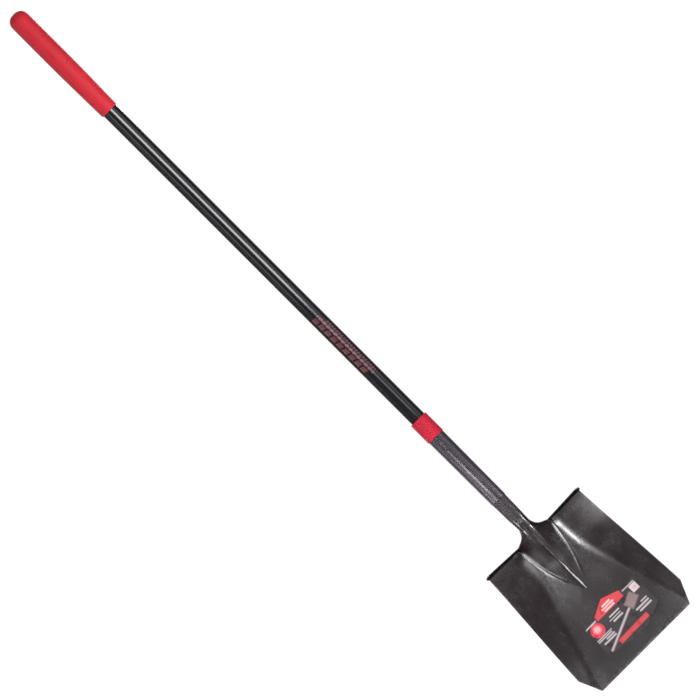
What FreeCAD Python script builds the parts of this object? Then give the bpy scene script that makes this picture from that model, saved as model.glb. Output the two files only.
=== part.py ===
import FreeCAD, Part
import math
import os
from FreeCAD import Vector

# Long handled square point shovel, millimetres.
# Z runs up along the handle axis with the blade at the bottom.
# The origin is the middle of the cutting edge, half way through the sheet.
# The hollow, working side of the blade faces -Y and X runs across the blade.
os.makedirs("parts", exist_ok=True)

# Blade sheet
sheet = 2.0
lift_angle = 17.0
edge_half_width = 106.0
corner_half_width = 123.8
corner_height = 41.0
shoulder_half_width = 109.0
blade_top = 289.0
wing_slope = 0.42
wing_bend_top = 11.0
wing_bend_low = 18.0
wing_bend_heights = (125.0, 205.0)
step_curl = 0.25
curl_middle = 260.0

# Frog: the raised ridge that runs from the socket down to a point on the blade
frog_point_height = 142.0
frog_foot_bend = 3.0
crest_flat = 2.2
crest_radius_low = 1.8
crest_radius_neck = 14.0
flank_bulge = 1.6

# Foot steps along the top of the blade
step_inner = 42.0
step_outer = 112.5
step_height = 282.1
step_fall = 0.097
step_overlap = 13.5
step_depth_inner = 11.2
step_depth_outer = 18.2
step_corner = 6.0

# Socket, rolled from the same sheet and tapering down to the neck
neck_height = 300.0
neck_radius = 13.5
socket_mid_height = 357.8
socket_mid_radius = 14.6
socket_top_height = 508.0
socket_top_radius = 15.4
socket_low_height = 262.0
socket_low_radius = 12.6
seam_width = 0.8

# Steel collar over the socket
collar_bottom = 357.8
collar_bottom_radius = 15.6
collar_cone_top = 510.8
collar_top = 522.0
collar_top_radius = 16.5
crimp_height = 481.0
crimp_radius = 6.0
crimp_depth = 1.3
crimp_offset = 2.6
groove_radius = 8.0
groove_depth = 0.9

# Plastic ring over the top of the collar
ring_bottom = 510.8
ring_top = 553.8
ring_radius = 17.5
ring_edge = 0.8

# Handle tube and its core
handle_radius = 15.15
handle_bore = 9.0
handle_bottom = 290.0
handle_top = 1526.0
core_top = 610.0

# End grip
grip_bottom = 1303.8
grip_top = 1538.5
grip_radius = 18.9

# Rivet through the neck
rivet_height = 306.0
rivet_shank = 3.2
rivet_head = 5.0
rivet_head_rise = 2.2

# Label on the face of the blade
label_thickness = 0.2

tan_lift = math.tan(math.radians(lift_angle))
cos_lift = math.cos(math.radians(lift_angle))
sin_lift = math.sin(math.radians(lift_angle))
half_sheet = sheet / 2 / cos_lift
crest_y = frog_point_height * tan_lift - half_sheet
axis_y = crest_y + neck_radius + 0.1

# Half width of the foot of the frog at a few heights
frog_foot = [
    (142.0, 0.5),
    (147.0, 4.0),
    (175.0, 17.0),
    (195.0, 24.0),
    (218.0, 30.0),
    (249.0, 35.5),
    (262.0, 37.5),
    (279.0, 40.0),
    (286.0, 31.0),
    (293.0, 22.0),
    (301.0, 17.0),
    (320.0, 15.5),
]

# Distance of the wing crease from the middle at a few heights
wing_crease = [
    (-20.0, 111.0),
    (0.0, 105.0),
    (29.0, 98.0),
    (71.0, 85.5),
    (119.0, 72.5),
    (151.0, 63.0),
    (181.0, 54.5),
    (212.0, 47.0),
    (242.0, 45.0),
    (272.0, 44.0),
    (320.0, 44.0),
]


def follow(stations, height):
    """Smooth value between neighbouring stations, by a cubic with matched slopes."""
    last = len(stations) - 1
    if height <= stations[0][0]:
        return stations[0][1]
    if height >= stations[last][0]:
        return stations[last][1]
    k = 0
    while stations[k + 1][0] < height:
        k += 1
    span = stations[k + 1][0] - stations[k][0]
    t = (height - stations[k][0]) / span
    slopes = []
    for j in (k, k + 1):
        low = max(j - 1, 0)
        high = min(j + 1, last)
        rise = stations[high][1] - stations[low][1]
        run = stations[high][0] - stations[low][0]
        slopes.append(rise / run)
    a = stations[k][1] * (2 * t**3 - 3 * t**2 + 1)
    b = stations[k + 1][1] * (3 * t**2 - 2 * t**3)
    c = slopes[0] * span * (t**3 - 2 * t**2 + t)
    d = slopes[1] * span * (t**3 - t**2)
    return a + b + c + d


def ease(low, high, value):
    """Smooth step from 0 to 1 between low and high."""
    t = min(max((value - low) / (high - low), 0.0), 1.0)
    return t * t * (3 - 2 * t)


def bend(value, half_width):
    """Zero, then a round bend, then a straight rise of slope one."""
    if value <= -half_width:
        return 0.0
    if value >= half_width:
        return value
    return (value + half_width) ** 2 / (4 * half_width)


def frog_rise(x, z):
    """How far the frog stands forward of the plain face, with slightly bulged flanks."""
    height = tan_lift * bend(z - frog_point_height, 4.0)
    height -= 0.12 * bend(z - 286.0, 4.0)
    if height <= 0.0:
        return 0.0
    foot = follow(frog_foot, z)
    radius = crest_radius_low
    radius += (crest_radius_neck - crest_radius_low) * ease(200.0, 276.0, z)
    radius = min(radius, 0.8 * foot + 0.05)
    flat = crest_flat * (1 - ease(200.0, 222.0, z)) * ease(143.0, 150.0, z)
    foot -= flat
    reach = math.hypot(foot, height - radius)
    slope = math.atan2(height - radius, foot) + math.asin(min(radius / reach, 1.0))
    tangent_x = radius * math.sin(slope)
    across = max(abs(x) - flat, 0.0)
    if across < tangent_x:
        drop = radius - math.sqrt(radius**2 - across**2)
    else:
        drop = radius * (1 - math.cos(slope)) + (across - tangent_x) * math.tan(slope)
        flank = min((across - tangent_x) / max(foot - tangent_x, 1.0), 1.0)
        drop -= flank_bulge * ease(185.0, 235.0, z) * math.sin(math.pi * flank)
    fillet = min(frog_foot_bend, 0.3 * height)
    return bend(height - drop, fillet)


def face_y(x, z):
    """Depth of the front surface: wings fold forward, and the top curls under the steps."""
    tighter = ease(wing_bend_heights[0], wing_bend_heights[1], z)
    half_width = wing_bend_low + (wing_bend_top - wing_bend_low) * tighter
    wing = wing_slope * bend(abs(x) - follow(wing_crease, z), half_width)
    curl = step_curl * bend(z - curl_middle, 10.0) * ease(34.0, 42.0, abs(x))
    return z * tan_lift - half_sheet - frog_rise(x, z) - wing - curl


def surface_point(x, z, offset):
    """Point on the front surface, moved back through the sheet by the offset."""
    step = 0.5
    across = (face_y(x + step, z) - face_y(x - step, z)) / (2 * step)
    along = (face_y(x, z + step) - face_y(x, z - step)) / (2 * step)
    normal = Vector(-across, 1.0, -along)
    normal.normalize()
    return Vector(x, face_y(x, z), z) + normal * offset


def column_positions(z):
    """Positions across the blade that follow the foot of the frog and the wing crease."""
    foot = max(follow(frog_foot, z), 8.0)
    crease = follow(wing_crease, z)
    outer = 134.0
    over_frog = [0.035, 0.07, 0.1, 0.135, 0.175, 0.225, 0.3, 0.4, 0.52, 0.64, 0.74, 0.82]
    over_frog += [0.88, 0.93, 0.97, 1.0]
    to_crease = [0.03, 0.07, 0.12, 0.2, 0.31, 0.44, 0.58, 0.72, 0.86, 1.0]
    over_wing = [0.04, 0.09, 0.14, 0.2, 0.28, 0.4, 0.55, 0.7, 0.85, 1.0]
    right = [foot * t for t in over_frog]
    right += [foot + (crease - foot) * t for t in to_crease]
    right += [crease + (outer - crease) * t for t in over_wing]
    left = [-x for x in reversed(right)]
    return left + [0.0] + right


def row_heights():
    """Heights of the surface rows: closest at the frog's point and at the neck."""
    rows = [-12.0 + 10.0 * k for k in range(14)]
    rows += [126.0 + 4.0 * k for k in range(9)]
    rows += [164.0 + 6.0 * k for k in range(15)]
    rows += [252.0 + 4.0 * k for k in range(16)]
    return rows


def even_knots(count):
    """Knots and multiplicities of a clamped cubic with this many control points."""
    knots = [float(k) for k in range(count - 2)]
    repeats = [4] + [1] * (count - 4) + [4]
    return knots, repeats


def blade_surface(offset):
    """Smooth cubic surface controlled by a net of points on the pressed shape."""
    net = []
    for z in row_heights():
        net.append([surface_point(x, z, offset) for x in column_positions(z)])
    row_knots, row_repeats = even_knots(len(net))
    column_knots, column_repeats = even_knots(len(net[0]))
    surface = Part.BSplineSurface()
    surface.buildFromPolesMultsKnots(
        net, row_repeats, column_repeats, row_knots, column_knots, False, False, 3, 3
    )
    return surface.toShape()


def polygon_face(points):
    """Flat face inside straight edges through the points."""
    return Part.Face(Part.makePolygon(points + [points[0]]))


def blade_outline():
    """Front elevation of the blade, both halves, as one flat face."""
    side = [
        Vector(edge_half_width, -100, 0),
        Vector(corner_half_width, -100, corner_height),
    ]
    edges = [Part.makeLine(Vector(-edge_half_width, -100, 0), side[0])]
    edges.append(Part.makeLine(side[0], side[1]))
    upper = Vector(shoulder_half_width, -100, blade_top)
    flank = [
        side[1],
        Vector(122.8, -100, 60),
        Vector(118.7, -100, 127),
        Vector(114.0, -100, 196),
        upper,
    ]
    curve = Part.BSplineCurve()
    curve.interpolate(flank)
    edges.append(curve.toShape())
    shelf = Vector(step_inner, -100, blade_top)
    foot = Vector(step_inner, -100, 272.5)
    edges.append(Part.makeLine(upper, shelf))
    edges.append(Part.makeLine(shelf, foot))
    neck = [
        foot,
        Vector(36.0, -100, 274.6),
        Vector(28.5, -100, 277.6),
        Vector(21.0, -100, 281.8),
        Vector(16.6, -100, 287.0),
        Vector(14.0, -100, 294.0),
        Vector(12.6, -100, 301.0),
    ]
    curve = Part.BSplineCurve()
    curve.interpolate(neck)
    edges.append(curve.toShape())
    half = edges[1:]
    mirrored = [e.mirror(Vector(0, 0, 0), Vector(1, 0, 0)) for e in half]
    top = Part.makeLine(neck[-1], Vector(-12.6, -100, 301.0))
    ordered = Part.__sortEdges__(edges + [top] + mirrored)
    return Part.Face(Part.Wire(ordered))


def step_axes(side):
    """Directions of a step: outward along it, forward across it and up from it."""
    up_blade = Vector(0, sin_lift, cos_lift)
    forward = Vector(0, -cos_lift, sin_lift)
    outward = Vector(side, 0, 0) - up_blade * step_fall
    outward.normalize()
    upward = up_blade + Vector(side * step_fall, 0, 0)
    upward.normalize()
    return outward, forward, upward


def step_corner_point(side):
    """Inner end of the underside of a step, where it meets the face."""
    return Vector(side * step_inner, step_height * sin_lift, step_height * cos_lift)


def step_point(side, out, depth, rise):
    """Point at distances out along a step, forward across it and up from its underside."""
    outward, forward, upward = step_axes(side)
    start = step_corner_point(side)
    return start + outward * out + forward * depth + upward * rise


def step_plate(side):
    """Flat flange turned forward from the top edge, with rounded outer corners."""
    length = step_outer - step_inner
    wing = wing_slope * cos_lift * (step_outer - step_inner - 2.0)
    front_outer = wing + step_depth_outer
    front_slope = (front_outer - step_depth_inner) / length
    front_start = step_depth_inner - front_slope * step_overlap
    corners = [
        step_point(side, -step_overlap, -6.0, 0.0),
        step_point(side, length, wing - 14.0, 0.0),
        step_point(side, length, front_outer, 0.0),
        step_point(side, -step_overlap, front_start, 0.0),
    ]
    upward = step_axes(side)[2]
    plate = polygon_face(corners).extrude(upward * sheet)
    outer_edges = []
    for edge in plate.Edges:
        direction = edge.tangentAt(edge.FirstParameter)
        middle = edge.CenterOfMass
        along_thickness = abs(direction.dot(upward)) > 0.99
        if along_thickness and abs(middle.x) > step_outer - 4.0:
            if middle.y < step_point(side, length, wing + 10.0, 0.0).y:
                outer_edges.append(edge)
    return plate.makeFillet(step_corner, outer_edges)


def above_step(side):
    """Everything above the top of a step, to be taken off the blade sheet."""
    corners = [
        step_point(side, -step_overlap, -60.0, sheet),
        step_point(side, 100.0, -60.0, sheet),
        step_point(side, 100.0, 90.0, sheet),
        step_point(side, -step_overlap, 90.0, sheet),
    ]
    return polygon_face(corners).extrude(step_axes(side)[2] * 80.0)


def socket_radius(z):
    """Outside radius of the rolled socket, slimmest where it meets the frog."""
    if z < neck_height:
        rate = (neck_radius - socket_low_radius) / (neck_height - socket_low_height)
        return neck_radius + rate * (z - neck_height)
    if z < socket_mid_height:
        rate = (socket_mid_radius - neck_radius) / (socket_mid_height - neck_height)
        return neck_radius + rate * (z - neck_height)
    rate = (socket_top_radius - socket_mid_radius) / (socket_top_height - socket_mid_height)
    return socket_mid_radius + rate * (z - socket_mid_height)


def turned(profile):
    """Solid of revolution about the handle axis from (radius, height) points."""
    points = [Vector(r, axis_y, z) for r, z in profile]
    face = polygon_face(points)
    return face.revolve(Vector(0, axis_y, 0), Vector(0, 0, 1), 360)


def socket_solid(inset):
    """Solid tapered plug with the outside shape of the socket, made smaller by the inset."""
    heights = [socket_low_height, neck_height, socket_mid_height, socket_top_height]
    profile = [(0.0, socket_low_height)]
    profile += [(socket_radius(z) - inset, z) for z in heights]
    profile += [(0.0, socket_top_height)]
    return turned(profile)


def rivet_hole():
    """Cylinder from front to back through the neck, as wide as the rivet shank."""
    start = Vector(0, axis_y - 40, rivet_height)
    return Part.makeCylinder(rivet_shank, 80, start, Vector(0, 1, 0))


def socket_tube():
    """Rolled socket, open at the back below the neck, with its seam down the back."""
    tube = socket_solid(0.0).cut(socket_solid(sheet))
    mouth = polygon_face([
        Vector(-60, axis_y - 17, 262.5),
        Vector(-60, axis_y + 30, 296.0),
        Vector(-60, axis_y + 30, 240.0),
        Vector(-60, axis_y - 17, 240.0),
    ]).extrude(Vector(120, 0, 0))
    tube = tube.cut(mouth)
    seam = Part.makeBox(seam_width, 20, 300, Vector(-seam_width / 2, axis_y + 8, 230))
    tube = tube.cut(seam)
    return tube.cut(rivet_hole())


def blade():
    """One pressed piece: face, wings, frog, two steps and the rolled socket."""
    front = blade_surface(0.0).extrude(Vector(0, -200, 0))
    back = blade_surface(sheet).extrude(Vector(0, 200, 0))
    body = blade_outline().extrude(Vector(0, 250, 0))
    body = body.cut(front)
    body = body.cut(back)
    for side in (-1, 1):
        body = body.cut(above_step(side))
        body = body.fuse(step_plate(side).cut(back))
    hollow = socket_solid(sheet)
    body = body.cut(hollow)
    body = body.fuse(socket_tube())
    return body


def steel_collar():
    """Tapered sleeve over the socket, with a round crimp and a shallow flute above it."""
    wall = [
        (socket_radius(collar_bottom), collar_bottom),
        (collar_bottom_radius - 0.3, collar_bottom),
        (collar_bottom_radius, collar_bottom + 0.5),
        (collar_top_radius, collar_cone_top),
        (collar_top_radius, collar_top),
        (socket_radius(collar_top), collar_top),
    ]
    collar = turned(wall)
    surface_y = axis_y - collar_top_radius + 0.2
    centre = Vector(-crimp_offset, surface_y - crimp_radius + crimp_depth, crimp_height)
    collar = collar.cut(Part.makeSphere(crimp_radius, centre))
    start = Vector(-crimp_offset, surface_y - groove_radius + groove_depth, crimp_height)
    groove = Part.makeCylinder(groove_radius, collar_top - crimp_height + 1.0, start)
    return collar.cut(groove)


def collar_ring():
    """Plastic cap ring: its skirt hides the cut end of the collar."""
    profile = [
        (collar_top_radius, ring_bottom),
        (ring_radius - ring_edge, ring_bottom),
        (ring_radius, ring_bottom + ring_edge),
        (ring_radius, ring_top - ring_edge),
        (ring_radius - ring_edge, ring_top),
        (handle_radius, ring_top),
        (handle_radius, collar_top),
        (collar_top_radius, collar_top),
    ]
    return turned(profile)


def handle_tube():
    """Hollow handle, ground to a taper where it sits in the socket."""
    foot_radius = socket_radius(handle_bottom) - sheet
    profile = [
        (handle_bore, handle_bottom),
        (foot_radius, handle_bottom),
        (neck_radius - sheet, neck_height),
        (socket_mid_radius - sheet, socket_mid_height),
        (socket_top_radius - sheet, socket_top_height),
        (handle_radius, socket_top_height),
        (handle_radius, handle_top),
        (handle_bore, handle_top),
    ]
    return turned(profile).cut(rivet_hole())


def handle_core():
    """Solid dowel that stiffens the bottom of the hollow handle."""
    profile = [(0.0, handle_bottom), (handle_bore, handle_bottom)]
    profile += [(handle_bore, core_top), (0.0, core_top)]
    return turned(profile).cut(rivet_hole())


def end_grip():
    """Soft sleeve with a closed, domed end and a narrower lower end."""
    inner = handle_radius
    start = Vector(inner, axis_y, grip_bottom)
    lip = Vector(inner + 0.9, axis_y, grip_bottom)
    side = [
        lip,
        Vector(inner + 1.5, axis_y, grip_bottom + 2.0),
        Vector(17.4, axis_y, grip_bottom + 27.0),
        Vector(18.1, axis_y, grip_bottom + 62.0),
        Vector(grip_radius, axis_y, grip_bottom + 106.0),
    ]
    shoulder = Vector(grip_radius, axis_y, grip_top - 17.0)
    crown = Vector(0, axis_y, grip_top)
    taper = Part.BSplineCurve()
    taper.interpolate(side)
    dome = Part.BSplineCurve()
    dome.interpolate(
        [
            shoulder,
            Vector(16.9, axis_y, grip_top - 8.6),
            Vector(12.4, axis_y, grip_top - 3.3),
            crown,
        ],
        InitialTangent=Vector(0, 0, 1),
        FinalTangent=Vector(-1, 0, 0),
    )
    pocket_top = Vector(0, axis_y, handle_top)
    pocket_side = Vector(inner, axis_y, handle_top)
    edges = [
        Part.makeLine(start, lip),
        taper.toShape(),
        Part.makeLine(side[-1], shoulder),
        dome.toShape(),
        Part.makeLine(crown, pocket_top),
        Part.makeLine(pocket_top, pocket_side),
        Part.makeLine(pocket_side, start),
    ]
    face = Part.Face(Part.Wire(edges))
    return face.revolve(Vector(0, axis_y, 0), Vector(0, 0, 1), 360)


def neck_rivet():
    """Domed rivet head in front, shank through the neck, formed tail behind."""
    plug = socket_solid(0.0)
    radius = socket_radius(rivet_height)
    shank_start = Vector(0, axis_y - radius - 0.5, rivet_height)
    shank_length = 2 * radius + 1.0
    rivet = Part.makeCylinder(rivet_shank, shank_length, shank_start, Vector(0, 1, 0))
    for direction in (-1, 1):
        seat = axis_y + direction * (radius - 1.5)
        length = rivet_head_rise + 1.5
        head = Part.makeCylinder(
            rivet_head, length, Vector(0, seat, rivet_height), Vector(0, direction, 0)
        )
        rim = []
        for edge in head.Edges:
            if abs(edge.CenterOfMass.y - (seat + direction * length)) < 0.01:
                if len(edge.Vertexes) == 1:
                    rim.append(edge)
        head = head.makeFillet(1.8, rim)
        rivet = rivet.fuse(head.cut(plug))
    return rivet


def label_panel():
    """Thin printed sheet stuck on the flat of the blade."""
    outline = [
        (-54.0, 35.0),
        (-54.0, 93.0),
        (-31.5, 96.0),
        (3.0, 113.5),
        (45.6, 99.0),
        (72.0, 104.0),
        (72.0, 42.0),
        (17.0, 21.0),
        (-27.0, 31.0),
    ]
    points = [Vector(x, -100, z) for x, z in outline]
    panel = polygon_face(points).extrude(Vector(0, 250, 0))
    panel = panel.cut(blade_surface(0.0).extrude(Vector(0, 200, 0)))
    return panel.cut(blade_surface(-label_thickness).extrude(Vector(0, -200, 0)))


pieces = {
    "blade": blade,
    "steel_collar": steel_collar,
    "collar_ring": collar_ring,
    "handle_tube": handle_tube,
    "handle_core": handle_core,
    "end_grip": end_grip,
    "neck_rivet": neck_rivet,
    "blade_label": label_panel,
}
for name, make in pieces.items():
    solid = make()
    solid.exportStep("parts/" + name + ".step")
    print(name, len(solid.Solids), solid.isValid(), round(solid.Volume / 1000, 1))
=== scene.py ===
import bpy
import math
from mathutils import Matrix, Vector


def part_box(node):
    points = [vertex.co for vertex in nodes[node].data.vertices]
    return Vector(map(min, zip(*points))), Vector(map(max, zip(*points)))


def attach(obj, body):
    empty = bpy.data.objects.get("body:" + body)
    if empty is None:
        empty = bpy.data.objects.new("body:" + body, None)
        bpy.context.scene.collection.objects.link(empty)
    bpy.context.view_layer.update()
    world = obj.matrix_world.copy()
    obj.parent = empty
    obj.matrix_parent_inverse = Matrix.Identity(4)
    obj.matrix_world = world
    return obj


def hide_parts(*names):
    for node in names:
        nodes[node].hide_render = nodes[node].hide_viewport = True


# Looks, light and camera for a long handled square point shovel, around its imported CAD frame.
# Metres. Z runs up along the handle, and the hollow face of the blade looks toward -Y.
# The origin is the middle of the cutting edge.
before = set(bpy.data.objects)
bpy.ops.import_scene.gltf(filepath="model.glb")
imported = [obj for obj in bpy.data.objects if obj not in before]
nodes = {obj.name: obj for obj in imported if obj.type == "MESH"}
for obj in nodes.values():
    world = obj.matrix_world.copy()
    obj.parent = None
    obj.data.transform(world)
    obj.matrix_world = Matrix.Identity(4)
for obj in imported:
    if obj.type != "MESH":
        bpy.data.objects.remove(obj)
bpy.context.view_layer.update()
MM = 0.001

blade_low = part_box("blade")[0]
label_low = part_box("blade_label")[0]
ring_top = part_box("collar_ring")[1].z
tube_low, tube_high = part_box("handle_tube")
grip_low, grip_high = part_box("end_grip")
rivet_low, rivet_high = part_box("neck_rivet")
rivet_z = (rivet_low.z + rivet_high.z) / 2
axis_y = (tube_low.y + tube_high.y) / 2


# ---------------------------------------------------------------- node helpers
def linear(value):
    """sRGB value from 0 to 255 as linear light."""
    c = value / 255.0
    return c / 12.92 if c <= 0.04045 else ((c + 0.055) / 1.055) ** 2.4


def rgb(r, g, b):
    """Linear colour from sRGB values of 0 to 255."""
    return (linear(r), linear(g), linear(b), 1.0)


def grey(level):
    """Neutral colour from a linear level."""
    return (level, level, level, 1.0)


class Graph:
    """Short calls for building one material's nodes."""

    def __init__(self, name):
        self.material = bpy.data.materials.new(name)
        self.material.use_nodes = True
        self.tree = self.material.node_tree
        self.shader = self.tree.nodes["Principled BSDF"]
        self.coords = self.new("ShaderNodeTexCoord").outputs["Object"]

    def new(self, kind, **settings):
        """Node of a kind, with its settings."""
        node = self.tree.nodes.new(kind)
        for key, value in settings.items():
            setattr(node, key, value)
        return node

    def put(self, socket, value):
        """Link another node's output to an input, or set the input to a plain value."""
        if hasattr(value, "is_linked"):
            self.tree.links.new(value, socket)
        else:
            socket.default_value = value

    def math(self, operation, a, b=0.0, c=0.0):
        """Result of one arithmetic step."""
        node = self.new("ShaderNodeMath", operation=operation)
        for socket, value in zip(node.inputs, (a, b, c)):
            self.put(socket, value)
        return node.outputs[0]

    def split(self, vector=None):
        """The three parts of a vector, or of the place on the object."""
        node = self.new("ShaderNodeSeparateXYZ")
        self.put(node.inputs[0], self.coords if vector is None else vector)
        return node.outputs[0], node.outputs[1], node.outputs[2]

    def scaled(self, x, y, z):
        """Place on the object, stretched by a factor for each direction."""
        node = self.new("ShaderNodeVectorMath", operation="MULTIPLY")
        self.put(node.inputs[0], self.coords)
        node.inputs[1].default_value = (x, y, z)
        return node.outputs[0]

    def noise(self, scale, detail=3.0, roughness=0.5, vector=None, distortion=0.0):
        """Cloudy pattern from 0 to 1."""
        node = self.new("ShaderNodeTexNoise")
        self.put(node.inputs["Vector"], self.coords if vector is None else vector)
        node.inputs["Scale"].default_value = scale
        node.inputs["Detail"].default_value = detail
        node.inputs["Roughness"].default_value = roughness
        node.inputs["Distortion"].default_value = distortion
        return node.outputs["Fac"]

    def pores(self, scale):
        """Distance from the nearest of many scattered points."""
        node = self.new("ShaderNodeTexVoronoi")
        self.put(node.inputs["Vector"], self.coords)
        node.inputs["Scale"].default_value = scale
        return node.outputs["Distance"]

    def remap(self, value, low, high, out_low=0.0, out_high=1.0):
        """Smooth step from one range to another."""
        node = self.new("ShaderNodeMapRange", interpolation_type="SMOOTHSTEP")
        self.put(node.inputs["Value"], value)
        node.inputs["From Min"].default_value = low
        node.inputs["From Max"].default_value = high
        node.inputs["To Min"].default_value = out_low
        node.inputs["To Max"].default_value = out_high
        return node.outputs["Result"]

    def span(self, value, low, high, edge):
        """One between low and high, with a soft edge inside each end, and zero outside."""
        rise = self.remap(value, low, low + edge)
        fall = self.remap(value, high - edge, high, 1.0, 0.0)
        return self.math("MULTIPLY", rise, fall)

    def mix(self, factor, a, b):
        """Colour a where the factor is 0, and colour b where it is 1."""
        node = self.new("ShaderNodeMix", data_type="RGBA")
        self.put(node.inputs[0], factor)
        self.put(node.inputs[6], a)
        self.put(node.inputs[7], b)
        return node.outputs[2]

    def bump(self, height, strength, distance, normal=None):
        """Surface direction disturbed by a height pattern."""
        node = self.new("ShaderNodeBump")
        self.put(node.inputs["Height"], height)
        node.inputs["Strength"].default_value = strength
        node.inputs["Distance"].default_value = distance
        if normal is not None:
            self.put(node.inputs["Normal"], normal)
        return node.outputs["Normal"]

    def rounded(self, radius):
        """Surface direction with corners softened to a radius."""
        node = self.new("ShaderNodeBevel", samples=6)
        node.inputs["Radius"].default_value = radius
        return node.outputs["Normal"]

    def finish(self, **values):
        """Fill in the surface shader's inputs and hand over the material."""
        for key, value in values.items():
            self.put(self.shader.inputs[key.replace("_", " ")], value)
        return self.material


# ------------------------------------------------------------------- materials
def blade_steel():
    """Black coated steel: faint brush marks, mottling, scratches and worn edges."""
    worn_height = 0.006
    neck_change = (rivet_z + 0.006, rivet_z + 0.020)
    groove_start = (0.140, 0.146)
    groove_end = (0.200, 0.214)
    groove_side = (0.0002, 0.0011)
    g = Graph("blade_steel")
    x, _, z = g.split()
    mottle = g.noise(22.0, 4.0, 0.55)
    grain = g.noise(900.0, 2.0, 0.6)
    brushed = g.noise(60.0, 3.0, 0.6, g.scaled(14.0, 14.0, 0.8))
    tone = g.math("MULTIPLY_ADD", mottle, 0.55, g.math("MULTIPLY", grain, 0.45))
    base = g.mix(tone, rgb(18, 8, 13), rgb(30, 19, 25))
    # thin pale scratches down the blade
    scratch_lines = g.noise(18.0, 1.0, 0.4, g.scaled(30.0, 30.0, 1.2), 0.6)
    scratches = g.remap(scratch_lines, 0.69, 0.74)
    base = g.mix(g.math("MULTIPLY", scratches, 0.15), base, rgb(120, 114, 118))
    # coating worn off in patches along the cutting edge
    tip = g.remap(z, blade_low.z, blade_low.z + worn_height, 1.0, 0.0)
    worn = g.math("MULTIPLY", tip, g.remap(g.noise(160.0, 3.0), 0.4, 0.62))
    base = g.mix(g.math("MULTIPLY", worn, 0.25), base, rgb(150, 145, 146))
    # duller, paler coating above the rivet
    on_neck = g.remap(g.math("MULTIPLY_ADD", mottle, 0.012, z), *neck_change)
    base = g.mix(on_neck, base, g.mix(tone, rgb(24, 18, 22), rgb(46, 37, 44)))
    uneven = g.math("ADD", mottle, g.math("MULTIPLY", brushed, 0.5))
    rough = g.remap(uneven, 0.45, 1.05, 0.19, 0.31)
    rough = g.math("MULTIPLY_ADD", on_neck, 0.3, rough)
    # brush marks, and a fine groove along the low part of the frog's crest
    height = g.math("MULTIPLY_ADD", brushed, 0.3, g.math("MULTIPLY", grain, 0.5))
    low_crest = g.math(
        "MULTIPLY", g.remap(z, *groove_start), g.remap(z, *groove_end, 1.0, 0.0)
    )
    middle = g.remap(g.math("ABSOLUTE", x), *groove_side, 1.0, 0.0)
    height = g.math("MULTIPLY_ADD", g.math("MULTIPLY", low_crest, middle), -4.0, height)
    return g.finish(
        Base_Color=base,
        Roughness=rough,
        Normal=g.bump(height, 0.16, 0.0006, g.rounded(0.0035)),
        Coat_Weight=g.math("MULTIPLY_ADD", on_neck, -0.5, 0.5),
        Coat_Roughness=0.14,
    )


def collar_steel():
    """Rough rolled steel: coarse speckle, pits and long streaks."""
    g = Graph("collar_steel")
    speckle = g.noise(700.0, 3.0, 0.7)
    pits = g.pores(650.0)
    streak = g.noise(120.0, 2.0, 0.5, g.scaled(3.0, 3.0, 0.16))
    tone = g.math("MULTIPLY_ADD", speckle, 0.6, g.math("MULTIPLY", streak, 0.5))
    height = g.math("MULTIPLY_ADD", speckle, 0.8, g.math("MULTIPLY", pits, 0.5))
    return g.finish(
        Base_Color=g.mix(g.remap(tone, 0.35, 0.8), rgb(54, 51, 55), rgb(86, 81, 88)),
        Metallic=0.6,
        Roughness=g.remap(speckle, 0.3, 0.7, 0.27, 0.44),
        Normal=g.bump(height, 0.04, 0.0006),
    )


def red_plastic():
    """Moulded red plastic with a fine matt skin."""
    g = Graph("red_plastic")
    cloud = g.noise(35.0, 3.0)
    fine = g.noise(1400.0, 2.0)
    return g.finish(
        Base_Color=g.mix(cloud, rgb(164, 14, 38), rgb(180, 24, 50)),
        Roughness=g.remap(fine, 0.3, 0.7, 0.5, 0.62),
        Normal=g.bump(fine, 0.012, 0.0003),
        Specular_IOR_Level=0.25,
    )


def black_fibreglass():
    """Glossy pultruded tube: fine lengthwise fibres, and a worn band of dark red dashes."""
    front_depth = 0.0125
    side_edge = 0.0009
    end_edge = 0.001
    dash_edge = 0.08
    # columns of dashes: left and right sides, heights above the ring, pitch, filled share
    columns = [
        (-0.0096, -0.0012, 0.1182, 0.2492, 0.0146, 0.80),
        (-0.0006, 0.0058, 0.1102, 0.2492, 0.0092, 0.72),
        (0.0064, 0.0112, 0.1122, 0.2322, 0.0058, 0.60),
    ]
    g = Graph("black_fibreglass")
    x, y, z = g.split()
    fibres = g.noise(260.0, 3.0, 0.6, g.scaled(6.0, 6.0, 0.05))
    cloud = g.noise(9.0, 2.0)
    slanted = g.math("MULTIPLY_ADD", x, 0.3, z)
    marks = 0.0
    for left, right, low, high, pitch, share in columns:
        saw = g.math("FRACT", g.math("MULTIPLY", slanted, 1.0 / pitch))
        dash = g.span(saw, 0.04, share + dash_edge, dash_edge)
        sides = g.span(x, left, right, side_edge)
        ends = g.span(z, ring_top + low, ring_top + high, end_edge)
        column = g.math("MULTIPLY", dash, g.math("MULTIPLY", sides, ends))
        marks = g.math("MAXIMUM", column, marks)
    front = g.math("LESS_THAN", y, tube_low.y + front_depth)
    wear = g.remap(g.noise(380.0, 3.0, 0.7), 0.3, 0.5, 0.45, 1.0)
    marks = g.math("MULTIPLY", g.math("MULTIPLY", marks, front), wear)
    base = g.mix(fibres, rgb(16, 15, 18), rgb(32, 30, 34))
    rough = g.math("MULTIPLY_ADD", fibres, 0.08, g.math("MULTIPLY", cloud, 0.1))
    return g.finish(
        Base_Color=g.mix(marks, base, rgb(98, 50, 58)),
        Roughness=g.math("ADD", rough, g.math("MULTIPLY_ADD", marks, 0.2, 0.08)),
        Normal=g.bump(fibres, 0.025, 0.0004),
        Coat_Weight=0.25,
        Coat_Roughness=0.12,
    )


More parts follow.
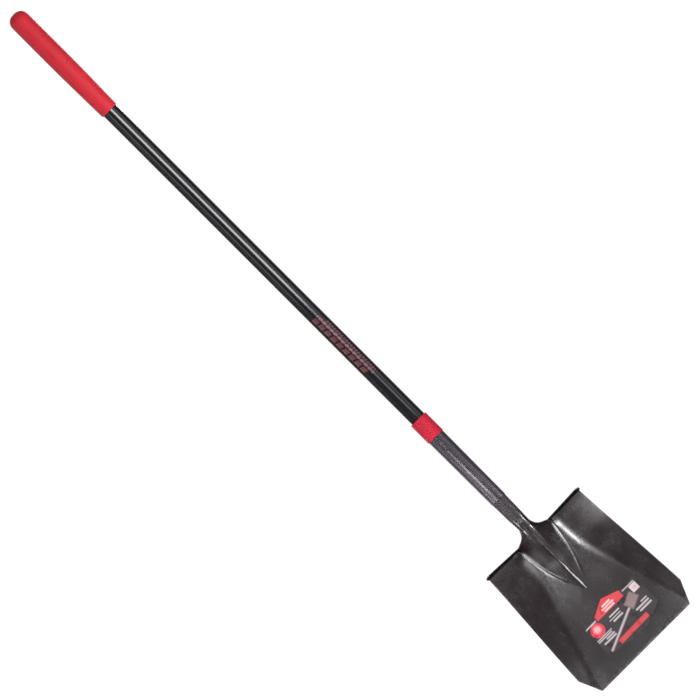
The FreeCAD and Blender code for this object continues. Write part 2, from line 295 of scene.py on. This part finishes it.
def red_foam():
    """Soft closed-cell sleeve: tiny pores with painted shade in them, faint cloudy scuffs."""
    g = Graph("red_foam")
    pores = g.pores(1100.0)
    cloud = g.noise(28.0, 4.0, 0.6)
    fine = g.noise(1600.0, 2.0)
    tone = g.math("MULTIPLY_ADD", cloud, 0.7, g.math("MULTIPLY", fine, 0.3))
    base = g.mix(g.remap(tone, 0.3, 0.7), rgb(186, 24, 40), rgb(204, 36, 52))
    height = g.math("MULTIPLY_ADD", pores, 0.7, g.math("MULTIPLY", fine, 0.4))
    return g.finish(
        # painted shade: the base colour darkens toward the middle of each pore dent
        Base_Color=g.mix(g.remap(pores, 0.0, 0.22, 0.35, 0.0), base, rgb(150, 28, 42)),
        Roughness=g.remap(cloud, 0.3, 0.7, 0.55, 0.7),
        Normal=g.bump(height, 0.2, 0.0005),
        Sheen_Weight=0.05,
        Specular_IOR_Level=0.3,
        Sheen_Roughness=0.5,
    )


def dark_rivet():
    """Hammered dark steel with paler dents."""
    g = Graph("dark_rivet")
    dents = g.noise(420.0, 3.0, 0.6)
    return g.finish(
        Base_Color=g.mix(dents, rgb(50, 47, 52), rgb(112, 108, 114)),
        Metallic=0.7,
        Roughness=g.remap(dents, 0.3, 0.7, 0.28, 0.45),
        Normal=g.bump(dents, 0.35, 0.0006),
    )


def core_wood():
    """Plain dowel with straight grain."""
    g = Graph("core_wood")
    grain = g.noise(160.0, 4.0, 0.6, g.scaled(4.0, 4.0, 0.2))
    return g.finish(
        Base_Color=g.mix(grain, rgb(150, 112, 70), rgb(196, 160, 112)),
        Roughness=0.7,
        Normal=g.bump(grain, 0.2, 0.0005),
    )


def label_print():
    """Black glossy label with plain bars and shapes where the printing was.

    Its places and sizes are millimetres from the lower left corner of the label.
    """
    g = Graph("label_print")
    x, _, z = g.split()
    speck = g.noise(900.0, 2.0)
    crinkle = g.noise(60.0, 3.0)
    edge = 0.5

    def inside(distance, half):
        """One where a distance is under half a width, with a soft edge."""
        return g.remap(distance, (half - edge) * MM, (half + edge) * MM, 1.0, 0.0)

    def local(cx, cz, angle):
        """Coordinates turned about a centre."""
        a = math.radians(angle)
        dx = g.math("SUBTRACT", x, label_low.x + cx * MM)
        dz = g.math("SUBTRACT", z, label_low.z + cz * MM)
        p = g.math("MULTIPLY_ADD", dx, math.cos(a), g.math("MULTIPLY", dz, math.sin(a)))
        q = g.math("MULTIPLY_ADD", dz, math.cos(a), g.math("MULTIPLY", dx, -math.sin(a)))
        return p, q

    def bar(cx, cz, width, height, angle=0.0):
        """Rectangle about a centre."""
        p, q = local(cx, cz, angle)
        along = inside(g.math("ABSOLUTE", p), width / 2)
        across = inside(g.math("ABSOLUTE", q), height / 2)
        return g.math("MULTIPLY", along, across)

    def disc(cx, cz, radius):
        """Round spot about a centre."""
        p, q = local(cx, cz, 0.0)
        squares = g.math("MULTIPLY_ADD", p, p, g.math("MULTIPLY", q, q))
        return inside(g.math("SQRT", squares), radius)

    def paint(under, mask, colour, strength=1.0):
        """One more ink over what is printed already."""
        return g.mix(g.math("MULTIPLY", mask, strength), under, colour)

    red = rgb(190, 48, 56)
    pink = rgb(222, 172, 175)
    white = rgb(190, 180, 184)
    base = g.mix(speck, rgb(26, 18, 22), rgb(43, 33, 38))
    # red panel that fills the raised top of the label, with plain bars
    base = paint(base, bar(58.0, 81.0, 62.0, 25.0), red)
    for k, width in enumerate((19.0, 27.0, 23.0)):
        base = paint(base, bar(58.0, 81.5 - 4.8 * k, width, 3.0), pink)
    # red round spot with a paler middle
    base = paint(base, disc(15.5, 57.5, 13.0), rgb(194, 46, 64))
    base = paint(base, disc(15.5, 59.0, 8.0), rgb(214, 122, 130), 0.7)
    base = paint(base, disc(15.5, 59.0, 5.0), rgb(226, 160, 164), 0.8)
    # plain picture of a long tool
    base = paint(base, bar(45.6, 31.5, 83.0, 5.0, 23.5), rgb(136, 120, 122))
    base = paint(base, bar(45.6, 31.8, 81.0, 1.8, 23.5), rgb(184, 168, 170))
    base = paint(base, bar(93.0, 54.0, 26.0, 19.0, 26.0), rgb(112, 94, 94))
    base = paint(base, bar(93.0, 54.0, 21.0, 14.0, 26.0), rgb(136, 116, 116), 0.7)
    # small white panel
    base = paint(base, bar(112.7, 66.8, 14.5, 14.0), white)
    base = paint(base, bar(112.7, 66.8, 8.0, 7.0), rgb(206, 130, 138), 0.6)
    # rows of plain bars in place of writing: centre, width, height
    rows = [
        (106.0, 76.0, 27.0, 2.0),
        (12.5, 71.5, 24.0, 2.6),
        (57.0, 59.5, 23.0, 2.6),
        (54.0, 54.2, 26.0, 1.6),
        (57.0, 49.3, 22.0, 3.2),
        (18.0, 43.8, 34.0, 1.8),
        (17.0, 40.5, 31.0, 2.2),
        (25.5, 36.3, 19.0, 2.8),
        (21.0, 31.8, 28.0, 3.2),
        (110.0, 41.0, 14.0, 2.4),
        (102.0, 35.8, 30.0, 3.2),
        (104.5, 30.0, 27.0, 3.4),
    ]
    for row in rows:
        base = paint(base, bar(*row), white, 0.8)
    # plain red strip along the bottom, worn in places
    worn = g.remap(speck, 0.3, 0.52, 0.55, 0.95)
    strip = g.math("MULTIPLY", bar(63.0, 17.2, 68.0, 9.0, 1.0), worn)
    return g.finish(
        Base_Color=paint(base, strip, rgb(196, 52, 62)),
        Roughness=g.remap(crinkle, 0.3, 0.7, 0.25, 0.4),
        Normal=g.bump(crinkle, 0.08, 0.0008),
    )


def dress_nodes():
    """Give every CAD node that stays its own material."""
    makers = {
        "blade": blade_steel,
        "steel_collar": collar_steel,
        "collar_ring": red_plastic,
        "handle_tube": black_fibreglass,
        "handle_core": core_wood,
        "neck_rivet": dark_rivet,
        "blade_label": label_print,
    }
    for node_name, make in makers.items():
        made = make()
        for material_slot in nodes[node_name].material_slots:
            material_slot.material = made


# -------------------------------------------------------------------- end grip
def grip_profile():
    """Half outline of the sleeve from its open end up, as radius and height above that end."""
    full = (grip_high.x - grip_low.x) / 2 - 0.0001
    inner = (tube_high.x - tube_low.x) / 2 + 0.00005
    length = grip_high.z - grip_low.z
    rolled_lip = [
        (inner, 0.004),
        (inner + 0.0001, 0.0006),
        (inner + 0.0006, 0.0),
        (inner + 0.0013, 0.0008),
        (inner + 0.0017, 0.0030),
        (inner + 0.0019, 0.0080),
    ]
    taper = [(0.0174, 0.0270), (0.0179, 0.0500), (0.0184, 0.0800)]
    straight = [(full, 0.1080), (full, 0.1400), (full, 0.1700), (full, 0.2000)]
    crowned_end = [
        (full, length - 0.0190),
        (full - 0.0002, length - 0.0150),
        (full - 0.0010, length - 0.0110),
        (full - 0.0024, length - 0.0077),
        (full - 0.0046, length - 0.0049),
        (full - 0.0074, length - 0.0027),
        (full - 0.0108, length - 0.0012),
        (full * 0.22, length - 0.0002),
    ]
    return rolled_lip + taper + straight + crowned_end


def soft_grip():
    """The soft sleeve: a turned form with a crowned end, gentle swells and a rolled lip."""
    around = 48
    lip_rows = 3
    swell_depth = 0.00012
    centre_x = (grip_low.x + grip_high.x) / 2
    centre_y = (grip_low.y + grip_high.y) / 2
    profile = grip_profile()
    verts = []
    for k, (radius, rise) in enumerate(profile):
        for j in range(around):
            turn = 2 * math.pi * j / around
            swell = swell_depth * math.sin(3 * turn + rise * 60.0) * math.sin(rise * 41.0)
            r = radius - abs(swell) if k > lip_rows else radius
            across = centre_x + r * math.cos(turn)
            depth = centre_y + r * math.sin(turn)
            verts.append((across, depth, grip_low.z + rise))
    faces = []
    for k in range(len(profile) - 1):
        for j in range(around):
            a = k * around + j
            b = k * around + (j + 1) % around
            faces.append((a, b, b + around, a + around))
    last = (len(profile) - 1) * around
    verts.append((centre_x, centre_y, grip_high.z))
    for j in range(around):
        faces.append((last + j, last + (j + 1) % around, len(verts) - 1))
    mesh = bpy.data.meshes.new("soft_end_grip")
    mesh.from_pydata(verts, [], faces)
    mesh.update()
    for polygon in mesh.polygons:
        polygon.use_smooth = True
    grip = bpy.data.objects.new("soft_end_grip", mesh)
    bpy.context.scene.collection.objects.link(grip)
    smooth = grip.modifiers.new("smooth", "SUBSURF")
    smooth.levels = 2
    smooth.render_levels = 2
    mesh.materials.append(red_foam())
    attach(grip, "root")
    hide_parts("end_grip")


# ------------------------------------------------------------- floor and world
def floor_material():
    """Pale matt floor that fades away toward its rim and when seen edge on."""
    g = Graph("studio_floor")
    x, y, _ = g.split()
    cloud = g.noise(3.0, 3.0)
    camera_ray = g.new("ShaderNodeLightPath").outputs["Is Camera Ray"]
    lit = g.mix(cloud, grey(0.86), grey(0.9))
    seen = g.mix(cloud, grey(0.36), grey(0.4))
    g.finish(
        Base_Color=g.mix(camera_ray, lit, seen),
        Roughness=0.8,
        Emission_Color=grey(1.0),
        Emission_Strength=g.math("MULTIPLY", camera_ray, 0.55),
    )
    away = g.math("SQRT", g.math("MULTIPLY_ADD", x, x, g.math("MULTIPLY", y, y)))
    near = g.remap(away, 1.0, 3.8, 1.0, 0.0)
    incoming = g.new("ShaderNodeNewGeometry").outputs["Incoming"]
    steep = g.remap(g.math("ABSOLUTE", g.split(incoming)[2]), 0.1, 0.3)
    shown = g.mix(camera_ray, grey(1.0), g.math("MULTIPLY", near, steep))
    blend = g.new("ShaderNodeMixShader")
    g.put(blend.inputs[0], shown)
    g.put(blend.inputs[1], g.new("ShaderNodeBsdfTransparent").outputs[0])
    g.put(blend.inputs[2], g.shader.outputs[0])
    g.put(g.tree.nodes["Material Output"].inputs["Surface"], blend.outputs[0])
    return g.material


def floor():
    """Plain round floor just under the cutting edge."""
    radius = 4.0
    depth = 0.0005
    steps = 64
    ring = []
    for j in range(steps):
        turn = 2 * math.pi * j / steps
        ring.append((radius * math.cos(turn), radius * math.sin(turn), -depth))
    mesh = bpy.data.meshes.new("studio_floor")
    mesh.from_pydata(ring, [], [tuple(range(steps))])
    made = bpy.data.objects.new("studio_floor", mesh)
    bpy.context.scene.collection.objects.link(made)
    made.visible_glossy = False
    mesh.materials.append(floor_material())


# Soft panels of the room, in degrees: azimuth (0 is the camera's side, + is to the right),
# elevation, half width, half height, soft edge; then strength
ROOM_DIM = 0.05
ROOM = [
    (0.0, 34.0, 14.0, 10.0, 12.0, 0.5),
    (0.0, 90.0, 180.0, 25.0, 20.0, 0.5),
    (60.0, 0.0, 10.0, 6.0, 10.0, 0.7),
    (-130.0, 0.0, 14.0, 25.0, 10.0, 0.6),
    (162.0, 20.0, 16.0, 20.0, 15.0, 1.0),
    (-160.0, 20.0, 18.0, 20.0, 15.0, 1.0),
]
BACKDROP = 1.05


def studio_world():
    """White to the camera; for everything else a dim room with soft bright panels."""
    world = bpy.data.worlds.new("studio")
    bpy.context.scene.world = world
    world.use_nodes = True
    tree = world.node_tree
    background = tree.nodes["Background"]
    background.inputs["Color"].default_value = grey(1.0)

    def math_node(operation, a, b=0.0):
        """Result of one arithmetic step."""
        node = tree.nodes.new("ShaderNodeMath")
        node.operation = operation
        for socket, value in zip(node.inputs, (a, b)):
            if hasattr(value, "is_linked"):
                tree.links.new(value, socket)
            else:
                socket.default_value = value
        return node.outputs[0]

    def inside(angle, middle, half, edge):
        """One within the half width of the middle angle, fading to zero over the edge."""
        off = math_node("ABSOLUTE", math_node("SUBTRACT", angle, math.radians(middle)))
        area = tree.nodes.new("ShaderNodeMapRange")
        area.interpolation_type = "SMOOTHSTEP"
        tree.links.new(off, area.inputs["Value"])
        area.inputs["From Min"].default_value = math.radians(half)
        area.inputs["From Max"].default_value = math.radians(half + edge)
        area.inputs["To Min"].default_value = 1.0
        area.inputs["To Max"].default_value = 0.0
        return area.outputs["Result"]

    split = tree.nodes.new("ShaderNodeSeparateXYZ")
    coords = tree.nodes.new("ShaderNodeTexCoord").outputs["Generated"]
    tree.links.new(coords, split.inputs[0])
    x, y, z = split.outputs[0], split.outputs[1], split.outputs[2]
    turn = math_node("ARCTAN2", x, math_node("MULTIPLY", y, -1.0))
    rise = math_node("ARCSINE", z)
    total = ROOM_DIM
    for azimuth, elevation, half_turn, half_rise, edge, strength in ROOM:
        across = inside(turn, azimuth, half_turn, edge)
        along = inside(rise, elevation, half_rise, edge)
        panel = math_node("MULTIPLY", math_node("MULTIPLY", across, along), strength)
        total = math_node("ADD", panel, total)
    choose = tree.nodes.new("ShaderNodeMix")
    path = tree.nodes.new("ShaderNodeLightPath")
    tree.links.new(path.outputs["Is Camera Ray"], choose.inputs[0])
    tree.links.new(total, choose.inputs[2])
    choose.inputs[3].default_value = BACKDROP
    tree.links.new(choose.outputs[0], background.inputs["Strength"])


# ----------------------------------------------------------------------- lamps
def outward(azimuth, elevation):
    """Direction of an azimuth and an elevation in degrees; azimuth 0 is the camera's side."""
    a = math.radians(azimuth)
    e = math.radians(elevation)
    return Vector((math.sin(a) * math.cos(e), -math.cos(a) * math.cos(e), math.sin(e)))


def aimed(name, data, place, target):
    """Lamp at a place, turned toward a target."""
    made = bpy.data.objects.new(name, data)
    bpy.context.scene.collection.objects.link(made)
    made.location = place
    made.rotation_mode = "QUATERNION"
    made.rotation_quaternion = (Vector(target) - Vector(place)).to_track_quat("-Z", "Y")
    return made


def box_at(name, focus, azimuth, elevation, away, width, height, radiance):
    """Softbox at a distance from a focus point, in a direction given by two angles."""
    data = bpy.data.lights.new(name, "AREA")
    data.shape = "RECTANGLE"
    data.size = width
    data.size_y = height
    data.energy = radiance * math.pi * width * height
    place = Vector(focus) + outward(azimuth, elevation) * away
    lamp = aimed(name, data, place, focus)
    lamp.visible_camera = False


def sun_at(name, azimuth, elevation, angle, radiance):
    """Far round lamp of an angular width in degrees, in a direction given by two angles."""
    data = bpy.data.lights.new(name, "SUN")
    data.angle = math.radians(angle)
    data.energy = radiance * math.pi * math.sin(data.angle / 2) ** 2
    aimed(name, data, outward(azimuth, elevation) * 5.0, (0.0, 0.0, 0.0))


def blade_lamps():
    """Lamps that draw the lines pressed into the blade."""
    # borders of the frog on its left side
    sun_at("border_sun_low", -80.0, 10.0, 9.0, 30.0)
    sun_at("border_sun_high", -64.0, 10.0, 9.0, 14.0)
    # fold of the right wing, from low to high, and the wing beside it
    fold = (0.049, 0.068)
    box_at("fold_low", (*fold, 0.17), -30.0, 32.0, 0.45, 0.08, 0.08, 8.0)
    box_at("fold_high", (*fold, 0.2), -24.0, 32.0, 0.45, 0.08, 0.08, 4.0)
    box_at("fold_top", (0.05, 0.065, 0.268), -27.0, 24.0, 0.35, 0.06, 0.06, 26.0)
    box_at("wing", (0.08, 0.06, 0.26), -62.0, 14.0, 0.45, 0.1, 0.1, 4.0)
    # borders of the frog on its right side, and the top of both borders
    box_at("border_right", (0.03, 0.06, 0.23), 50.0, 22.0, 0.5, 0.08, 0.08, 4.5)
    box_at("border_right_top", (0.037, 0.07, 0.255), 62.0, 14.0, 0.25, 0.05, 0.05, 34.0)
    box_at("border_left_top", (-0.037, 0.07, 0.255), -62.0, 14.0, 0.25, 0.05, 0.05, 20.0)
    sun_at("border_sun_right", 64.0, 10.0, 9.0, 14.0)
    # curl under each foot step
    box_at("under_right", (0.055, 0.07, 0.264), -34.0, 3.0, 1.2, 0.4, 0.25, 1.0)
    box_at("under_left", (-0.06, 0.07, 0.264), 34.0, 3.0, 1.2, 0.3, 0.2, 3.0)
    # low crest of the frog, and the neck above it
    box_at("crest_front", (0.0, 0.04, 0.168), 0.0, 0.0, 0.5, 0.08, 0.06, 36.0)
    box_at("neck_front", (0.0, 0.04, 0.3), -14.0, 0.0, 0.6, 0.06, 0.04, 6.0)


def handle_lamps():
    """Tall lamps that lay long bright lines on the handle and the collar."""
    upper_handle = (0.0, axis_y, 1.14)
    lower_handle = (0.0, axis_y, 0.68)
    upper_collar = (0.0, axis_y, 0.47)
    box_at("strip_right", upper_handle, 24.0, 0.0, 0.9, 0.4, 0.62, 11.0)
    box_at("strip_left", upper_handle, -43.0, 0.0, 0.9, 0.24, 0.62, 1.6)
    box_at("strip_low", lower_handle, 20.0, 0.0, 0.35, 0.117, 0.24, 2.4)
    box_at("strip_collar", upper_collar, -17.0, 0.0, 0.6, 0.03, 0.15, 2.4)


def back_lamps():
    """Wide soft lamps for the rear of the tool."""
    box_at("back", (0.0, axis_y, 0.5), 160.0, 25.0, 3.0, 0.9, 0.9, 12.0)
    box_at("back_left", (0.0, axis_y, 0.3), -150.0, 8.0, 3.0, 1.0, 1.4, 3.0)


# ---------------------------------------------------------------------- camera
def photo_camera():
    """Far, straight-on camera, rolled so that the tool lies on a diagonal."""
    distance = 30.0
    frame_width = 1.204
    aim = Vector((0.0013, 0.05, 0.7207))
    data = bpy.data.cameras.new("photo_camera")
    data.sensor_width = 36.0
    data.lens = data.sensor_width * distance / frame_width
    data.clip_start = 0.1
    data.clip_end = 200.0
    camera = bpy.data.objects.new("photo_camera", data)
    bpy.context.scene.collection.objects.link(camera)
    camera.location = aim - Vector((0.0, distance, 0.0))
    camera.rotation_mode = "XYZ"
    camera.rotation_euler = (math.radians(90.0), math.radians(45.0), 0.0)
    bpy.context.scene.camera = camera


dress_nodes()
soft_grip()
floor()
studio_world()
blade_lamps()
handle_lamps()
back_lamps()
photo_camera()
bpy.context.scene.view_settings.view_transform = "Standard"
